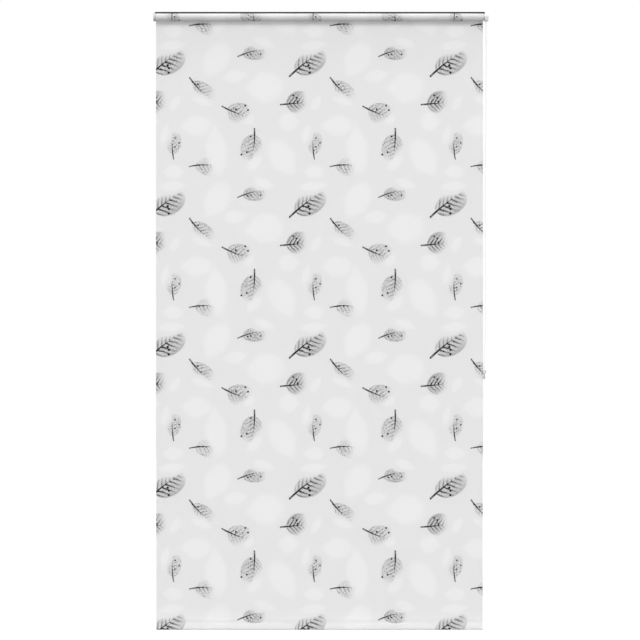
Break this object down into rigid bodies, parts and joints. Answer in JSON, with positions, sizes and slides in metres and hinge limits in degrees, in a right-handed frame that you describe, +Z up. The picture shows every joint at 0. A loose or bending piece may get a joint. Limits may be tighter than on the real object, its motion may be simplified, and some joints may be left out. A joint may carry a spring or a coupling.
{
  "type": "shower roller blind with ceiling rail",
  "caption": "Chain-driven roller blind for a shower: a white cloth with scattered leaf skeletons winds on a tube under a slim ceiling rail.",
  "frame": {"origin": "on the ceiling plane, at the rail's top face over the middle of the roller's length", "axes": "+Z up, +X along the roller towards the chain drive, -Y towards the side seen in use"},
  "size_m": [1.309, 0.038, 2.419],
  "materials": {
    "rail": "satin dark grey",
    "cloth": "white coated cloth with a dark leaf-skeleton print",
    "rod": "mill finish",
    "tube": "mill finish",
    "plug": "moulded, grey",
    "bracket_grey": "moulded, light grey",
    "wheel": "moulded, grey",
    "bracket_white": "moulded, white",
    "weight": "moulded, light grey",
    "chain": "white plastic beads on a cord"
  },
  "bodies": {
    "root": {"head_rail": "rail", "cloth": "cloth", "hem_rod": "rod", "roller_tube": "tube", "idle_plug": "plug", "idle_bracket": "bracket_grey", "chain_wheel": "wheel", "drive_bracket": "bracket_white", "pull_weight": "weight", "chain_turn": "chain", "chain_over_wheel": "chain", "chain_front": "chain", "chain_back": "chain"}
  },
  "joints": []
}
